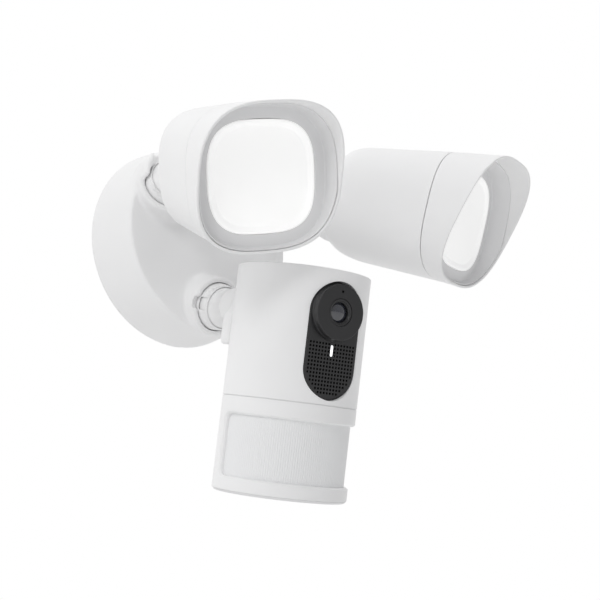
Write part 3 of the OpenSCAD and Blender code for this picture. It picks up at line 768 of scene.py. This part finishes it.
flat, triangles = cut_sheet([pill(-0.45), lens_hole, light_slot] + holes, fill, plate_keeps)
face_sheet = flat_sheet(flat, triangles, PLATE_FACE)
plate_edge = straight_wall(pill, [(-0.45, PLATE_FACE), (-0.2, PLATE_FACE - 0.07), (-0.06, PLATE_FACE - 0.22),
                                  (0, PLATE_FACE - 0.45), (0, PLATE_BACK)])
lens_wall = straight_wall(lambda g: lens_hole, [(0, PLATE_FACE), (0, PLATE_BACK)])
slot_wall = straight_wall(lambda g: light_slot, [(0, PLATE_FACE), (0, PLATE_BACK)])
new_piece("camera_front_plate", *joined(face_sheet, plate_edge, lens_wall, slot_wall), in_camera(), "camera_head",
          "plate_black", ["front_plate"])

# a cup behind every hole of the grille, open to the front, painted near black as painted shade inside the holes
w = HOLE / 2
rim = np.array([(-w, -w), (w, -w), (w, w), (-w, w)])
cup_points = [(x, 0, z) for x, z in rim] + [(x, 1.6, z) for x, z in rim]
cup_faces = [(i, (i + 1) % 4, 4 + (i + 1) % 4, 4 + i) for i in range(4)] + [(4, 5, 6, 7)]
repeated("speaker_grille_cups", (cup_points, cup_faces), [(u, -PLATE_FACE + 0.05, z) for u, z in grille],
         in_camera(), "camera_head", "plate_black", shade_painted_bore)

# light bar
def bar_outline(grow):
    return rounded_box(0, LIGHT_AT, LIGHT_W - 0.2 + 2 * grow, LIGHT_H - 0.3 + 2 * grow, 0.68 + grow)


bar_side = straight_wall(bar_outline, [(0, PLATE_FACE - 2.6), (0, PLATE_FACE - 0.05), (-0.06, PLATE_FACE + 0.06),
                                       (-0.2, PLATE_FACE + 0.1)])
bar_front = flat_sheet(*cut_sheet([bar_outline(-0.2)], [], lambda u, z: np.full(len(u), True)), PLATE_FACE + 0.1)
new_piece("camera_light_bar", *joined(bar_side, bar_front), in_camera(), "camera_head", "light_pipe", ["status_light"])

# lens disc with its step, its rounded edge and the microphone port
face_r = DISC_R - 0.75
bore = BARREL_R + 0.12
loops = [circle(0, 0, face_r, 144), circle(0, 0, bore, 144), circle(0, PORT_UP, PORT_R, 32)]
spots = [(r * cos(a), r * sin(a)) for r in (9.2, 10.8, 12.6) for a in np.linspace(0, 2 * pi, 48, endpoint=False)
         if np.hypot(r * cos(a), r * sin(a) - PORT_UP) > PORT_R + 0.5]


def disc_keeps(u, z):
    r = np.hypot(u, z)
    return (r > bore) & (np.hypot(u, z - PORT_UP) > PORT_R * 0.99) & (r < face_r)


disc_face, disc_triangles = cut_sheet(loops, spots, disc_keeps)
disc_top = (np.column_stack([disc_face, np.full(len(disc_face), DISC_FRONT)]), disc_triangles)
step_at, foot_at = PLATE_FACE + 1.75, PLATE_FACE + 0.02
disc_side = eased([(face_r, DISC_FRONT, 0), (DISC_R, DISC_FRONT, 0.7), (DISC_R + 0.35, step_at, 0.3),
                   (DISC_BASE_R - 0.3, step_at, 0.35), (DISC_BASE_R, PLATE_FACE + 1.0, 0.3),
                   (DISC_BASE_R, foot_at, 0)], steps=6)
disc_side += [(DISC_R + 0.08, foot_at), (DISC_R, PLATE_BACK), (bore, PLATE_BACK), (bore, DISC_FRONT)]
disc_skin = turned(disc_side)
port_rim = circle(0, PORT_UP, PORT_R, 32)
port = weave([np.array([(x, y, h) for x, y in port_rim]) for h in (DISC_FRONT, DISC_FRONT - 2.5)])
new_piece("camera_lens_disc", *joined(disc_top, disc_skin, port), CAMERA_FACE, "camera_head", "plate_black",
          ["lens_housing"])
# floor of the microphone port, painted near black as painted shade at the bottom of the hole
port_floor = [(PORT_R, DISC_FRONT - 2.4), (AXIS, DISC_FRONT - 2.4)]
new_piece("camera_microphone_port", *turned(port_floor, 32), CAMERA_FACE @ move(0, PORT_UP, 0), "camera_head",
          "plate_black", material=shade_painted_bore)

f = DISC_FRONT
barrel = eased([(BARREL_R, f - 11.9, 0.1), (BARREL_R, f - 0.25, 0.25), (BARREL_R - 0.4, f + 0.0, 0.2),
                (GLASS_R + 1.0, f - 0.25, 0.2), (GLASS_R + 0.6, f - 1.0, 0.15), (GLASS_R + 0.12, f - 1.1, 0.1),
                (GLASS_R + 0.1, f - 2.6, 0.1), (4.6, f - 2.65, 0.1), (4.2, f - 5.5, 0.2), (3.4, f - 11.9, 0.1)],
               closed=True)
new_piece("camera_lens_barrel", *turned(barrel, loop=True), CAMERA_FACE, "camera_head", "plate_black", ["lens_trim"])
dome_r, dome_at = 8.6, f - 9.1
dome = [(GLASS_R * s, dome_at + sqrt(dome_r ** 2 - (GLASS_R * s) ** 2)) for s in np.linspace(AXIS, 1, 18)]
dome = [(AXIS, f - 2.6), (GLASS_R, f - 2.6)] + dome[::-1]
new_piece("camera_lens_glass", *turned(dome), CAMERA_FACE, "camera_head", "lens_glass", ["lens_glass"])

# seam between the body and the sensor housing
seam = [(CAM_R - 0.55, -CAM_JOINT - GROOVE / 2), (CAM_R - 0.55, -CAM_JOINT + GROOVE / 2),
        (inner_r, -CAM_JOINT + GROOVE / 2), (inner_r, -CAM_JOINT - GROOVE / 2)]
new_piece("camera_seam_seal", *turned(seam, loop=True), in_camera(), "camera_head", "trim_grey", ["joint_seal"])

# sensor housing: one window with rounded corners and a bevelled edge
head, base_z = -CAM_JOINT - GROOVE / 2, -CAM_H + 1.5
window_mid = -WINDOW_TOP - WINDOW_H / 2
window_w = 2 * CAM_R * radians(WINDOW_ANGLE / 2)
half_u = window_w / 2 + 4


def window_outline(grow):
    return rounded_box(0, window_mid, window_w + 2 * grow, WINDOW_H + 2 * grow, 4.0 + grow, 10)


def dense(loop, model, gap=1.6):
    """Adds points along a loop where the model loop is long, so that both keep the same count."""
    out = []
    for i, (a, b) in enumerate(zip(loop, loop[1:] + loop[:1])):
        c, d = model[i], model[(i + 1) % len(model)]
        n = max(1, int(np.hypot(d[0] - c[0], d[1] - c[1]) / gap))
        out += [(a[0] + (b[0] - a[0]) * j / n, a[1] + (b[1] - a[1]) * j / n) for j in range(n)]
    return out


def window_loop(grow):
    return dense(window_outline(grow), window_outline(0))


def in_window(u, z, grow):
    du = np.abs(u) - window_w / 2 - grow + 4 + grow
    dz = np.abs(np.asarray(z) - window_mid) - WINDOW_H / 2 - grow + 4 + grow
    return np.hypot(np.maximum(du, 0), np.maximum(dz, 0)) + np.minimum(np.maximum(du, dz), 0) < 4 + grow


bevel = 1.1
low_z, high_z = base_z + 0.3, head - 0.5
z_rows = np.linspace(low_z, high_z, 20)
front_u = np.linspace(-half_u, half_u, 90)
loop = [(front_u[0], z) for z in z_rows] + [(u, high_z) for u in front_u[1:-1]]
loop += [(front_u[-1], z) for z in z_rows[::-1]] + [(u, low_z) for u in front_u[::-1][1:-1]]
fill = [(u, z) for u in front_u[1:-1] for z in z_rows[1:-1] if not in_window(u, z, bevel + 0.7)]
flat, triangles = cut_sheet([loop, window_loop(bevel)], fill, lambda u, z: ~in_window(u, z, bevel))
housing_front = (around(flat[:, 0], flat[:, 1]), triangles)
behind = np.linspace(half_u, 2 * pi * CAM_R - half_u, 50)
housing_back = weave([around(behind, z) for z in z_rows], wrap=False)
full_u = np.concatenate([front_u, behind[1:-1]])
upper = eased([(CAM_R, high_z, 0), (CAM_R, head, 0.4), (inner_r, head, 0.3), (inner_r, head - 6, 0)])
lower = eased([(CAM_R, low_z, 0), (CAM_R, base_z, 0.25), (inner_r, base_z, 0.2), (inner_r, base_z + 5, 0)])
window_wall = weave([
    around(*np.array(window_loop(g)).T, r)
    for g, r in ((bevel, CAM_R), (bevel - 0.12, CAM_R - 0.03), (bevel - 0.3, CAM_R - 0.16), (0.15, CAM_R - 0.95),
                 (0.03, CAM_R - 1.1), (0, CAM_R - 1.3), (0, CAM_R - WINDOW_IN - 0.2))
])
rims = [weave([around(full_u, z, r) for r, z in rim_rows]) for rim_rows in (upper, lower)]
new_piece("camera_sensor_housing", *joined(housing_front, housing_back, *rims, window_wall), in_camera(),
          "camera_head", "shell_white", ["sensor_housing"])

# motion window, ribbed from top to bottom
RIB_PITCH, RIB_STEPS, RIB_DEPTH = 1.25, 6, 0.16
lens_r, lens_back = CAM_R - WINDOW_IN - 0.05, CAM_R - WINDOW_IN - 1.0
half_angle = radians(WINDOW_ANGLE / 2 + 3.5)
ribs = int(2 * half_angle * lens_r / RIB_PITCH)
angles = np.linspace(-half_angle, half_angle, ribs * RIB_STEPS + 1)
wave = RIB_DEPTH * np.abs(np.sin(np.linspace(0, ribs * pi, len(angles)))) ** 0.8
z_low, z_high = -WINDOW_TOP - WINDOW_H - 1.5, -WINDOW_TOP + 1.5
rows = [around(CAM_R * angles, z, lens_r - RIB_DEPTH + wave) for z in np.linspace(z_low, z_high, 5)]
rows += [around(CAM_R * angles, z, lens_back) for z in (z_high, z_low)]
window_skin = weave(rows, wrap=False, loop=True)
ends = [np.array([row[k] for row in rows]) for k in (0, -1)]
caps = [(e, [tuple(range(len(rows)))]) for e in ends]
new_piece("camera_motion_window", *joined(window_skin, *caps), in_camera(), "camera_head", "window_plastic",
          ["motion_lens"])

# bottom cap
cap = eased([(0.0, -CAM_H + 0.6, 0), (CAM_R - 3.5, -CAM_H + 0.6, 0.4), (CAM_R - 3.0, -CAM_H, 0.4),
             (CAM_R - 1.5, -CAM_H, 0.9), (CAM_R, base_z - 0.02, 0.5), (inner_r - 0.2, base_z - 0.02, 0.2),
             (inner_r - 0.2, -CAM_H + 4, 0.3), (CAM_R - 5, -CAM_H + 4, 0.3), (CAM_R - 5, -CAM_H + 2.6, 0.3),
             (0.0, -CAM_H + 2.6, 0)], steps=5)
new_piece("camera_bottom_cap", *turned(cap), in_camera(), "camera_head", "trim_grey", ["bottom_cap"])


# dock: the arm swells into a saddle that holds the camera's back
def dock_field(q):
    height = q[..., 1]
    flare = 0.86 * np.hypot(q[..., 0], q[..., 1]) - 0.51 * q[..., 2] - 1.2
    solid = soft_max(drum(q, 11.4, 12.4, DOCK_FRONT, 1.2), flare, 2.0)
    saddle = soft_max(block(q, (-DOCK_W / 2, DOCK_LOW, DOCK_BACK), (DOCK_W / 2, 9, DOCK_FRONT), 2.4),
                      (np.abs(q[..., 0]) * 0.6 + height * 0.8 - 6.6), 4.0)
    solid = soft_min(solid, saddle, 7.0)
    pad = np.minimum(block(q, (-DOCK_W / 2 + 2, -19, DOCK_FRONT - 4), (DOCK_W / 2 - 2, -9, DOCK_FRONT + 16), 1.0),
                     block(q, (-8, -19, DOCK_FRONT - 4), (8, 6, DOCK_FRONT + 10), 1.0))
    solid = soft_min(solid, pad, 1.5)
    body = local(q, in_camera().inverted() @ in_stem("camera"))
    solid = soft_max(solid, CAM_R + 0.05 - np.hypot(body[..., 0], body[..., 1]), 0.3)
    bore = np.minimum(drum(q, STEM_R + FIT, 5, STEM_LEN + GAP, 0.2), drum(q, WIRE_R + 1, 30, 90, 0.2))
    return soft_max(solid, -bore, 0.5)


points, faces = form(dock_field, (-21, -26.5, 10), (21, 13, 64), 0.62)
new_piece("camera_dock_saddle", points, faces, in_stem("camera"), "camera_head", "shell_white", ["camera_dock"],
          sharp=50)

# pan-head screws on the back of the dock
SCREW_R, SCREW_H, RECESS_R = 2.6, 1.5, 1.0
head_points, head_faces = turned(eased([
    (AXIS, 0, 0), (SCREW_R, 0, 0.1), (SCREW_R, SCREW_H * 0.45, 0.5), (SCREW_R * 0.62, SCREW_H, 0.5),
    (RECESS_R, SCREW_H, 0.1), (RECESS_R, SCREW_H * 0.35, 0.05), (AXIS, SCREW_H * 0.35, 0)
]), 32)
head_points = head_points * np.array([1, 1, -1])
repeated("dock_screw_heads", (head_points, head_faces), [(x, -14, DOCK_BACK) for x in (-14, 14)], in_stem("camera"),
         "camera_head", "plated_steel", stands_for=["dock_screws"])

# pairing button on the back
BUTTON_Z = -58
button = eased([(AXIS, -6, 0), (4.2, -6, 0.2), (4.2, -4.6, 0.2), (3.0, -4.6, 0.2), (3.0, 0.2, 0.6), (2.0, 0.2, 0.5),
                (AXIS, -0.15, 0)], steps=5)
new_piece("camera_pairing_button", *turned(button, 64), in_camera() @ move(0, CAM_R, BUTTON_Z) @ turn("X", -90),
          "camera_button", "component_grey", ["pairing_button"])

# seal against the wall
gasket = eased([(BASE_R - 0.8, 0, 0.3), (BASE_R - 0.8, GASKET_T, 0.3), (BASE_R - 7, GASKET_T, 0.3),
                (BASE_R - 7, 0, 0.3)], closed=True)
new_piece("wall_seal_ring", *turned(gasket, loop=True), WALL_FRAME, "base", "trim_grey", ["wall_gasket"])


# ---------------------------------------------------------------- stage, light and view
def area_light(name, at, aim, size, power, colour=(1, 1, 1)):
    data = bpy.data.lights.new(name, "AREA")
    data.shape = "DISK"
    data.size, data.energy, data.color = size, power, colour
    lamp = bpy.data.objects.new(name, data)
    lamp.location = at
    lamp.rotation_euler = (Vector(aim) - Vector(at)).to_track_quat("-Z", "Y").to_euler()
    bpy.context.scene.collection.objects.link(lamp)


def stage_plane(name, size, height, material):
    mesh = bpy.data.meshes.new(name)
    corners = [(x * size, y * size, height) for x, y in ((-1, -1), (1, -1), (1, 1), (-1, 1))]
    mesh.from_pydata(corners, [], [(0, 1, 2, 3)])
    mesh.materials.append(material)
    plane = bpy.data.objects.new(name, mesh)
    bpy.context.scene.collection.objects.link(plane)


stage_plane("floor", 6.0, -0.42, moulded("pale_floor", (0.86, 0.86, 0.86), 0.7, shade=0.01))

world = bpy.data.worlds.new("soft_studio")
bpy.context.scene.world = world
world.use_nodes = True
tree = world.node_tree
sky = tree.nodes["Background"]
where = add(tree, "ShaderNodeTexCoord")
split = add(tree, "ShaderNodeSeparateXYZ")
tree.links.new(where.outputs["Generated"], split.inputs["Vector"])
ramp = add(tree, "ShaderNodeValToRGB")
ramp.color_ramp.elements[0].position, ramp.color_ramp.elements[0].color = 0.30, (0.42, 0.42, 0.425, 1)
ramp.color_ramp.elements[1].position, ramp.color_ramp.elements[1].color = 0.52, (1, 1, 1, 1)
lift = add(tree, "ShaderNodeMath", operation="MULTIPLY_ADD")
lift.inputs[1].default_value, lift.inputs[2].default_value = 0.5, 0.5
tree.links.new(split.outputs["Y"], lift.inputs[0])
tree.links.new(lift.outputs[0], ramp.inputs["Fac"])
tree.links.new(ramp.outputs["Color"], sky.inputs["Color"])
sky.inputs["Strength"].default_value = 1.0

area_light("key", (-1.6, -1.0, 0.9), (0, -0.1, 0), 0.8, 9)
area_light("top", (0.1, -0.6, 1.8), (0, -0.1, 0), 1.0, 4.5)

view = bpy.data.cameras.new("view")
view.sensor_width = 36
view.lens = 36 * 1202.9 / 600
view.clip_end = 30
camera = bpy.data.objects.new("view", view)
right = Vector((0.747495, -0.664233, 0.006764))
up = Vector((-0.174027, -0.185994, 0.967016))
back = right.cross(up)
camera.matrix_world = (Matrix.Translation((-0.44025, -0.62089, -0.23219))
                       @ Matrix((right, up, back)).transposed().to_4x4())
bpy.context.scene.collection.objects.link(camera)
bpy.context.scene.camera = camera
bpy.context.scene.view_settings.view_transform = "Standard"

# every carried-over part takes the finish that the record names for it
for entry in frame["record"]["subparts"]:
    data = nodes[entry["node"]].data
    data.materials.clear()
    data.materials.append(finish[entry["material_slot"]])
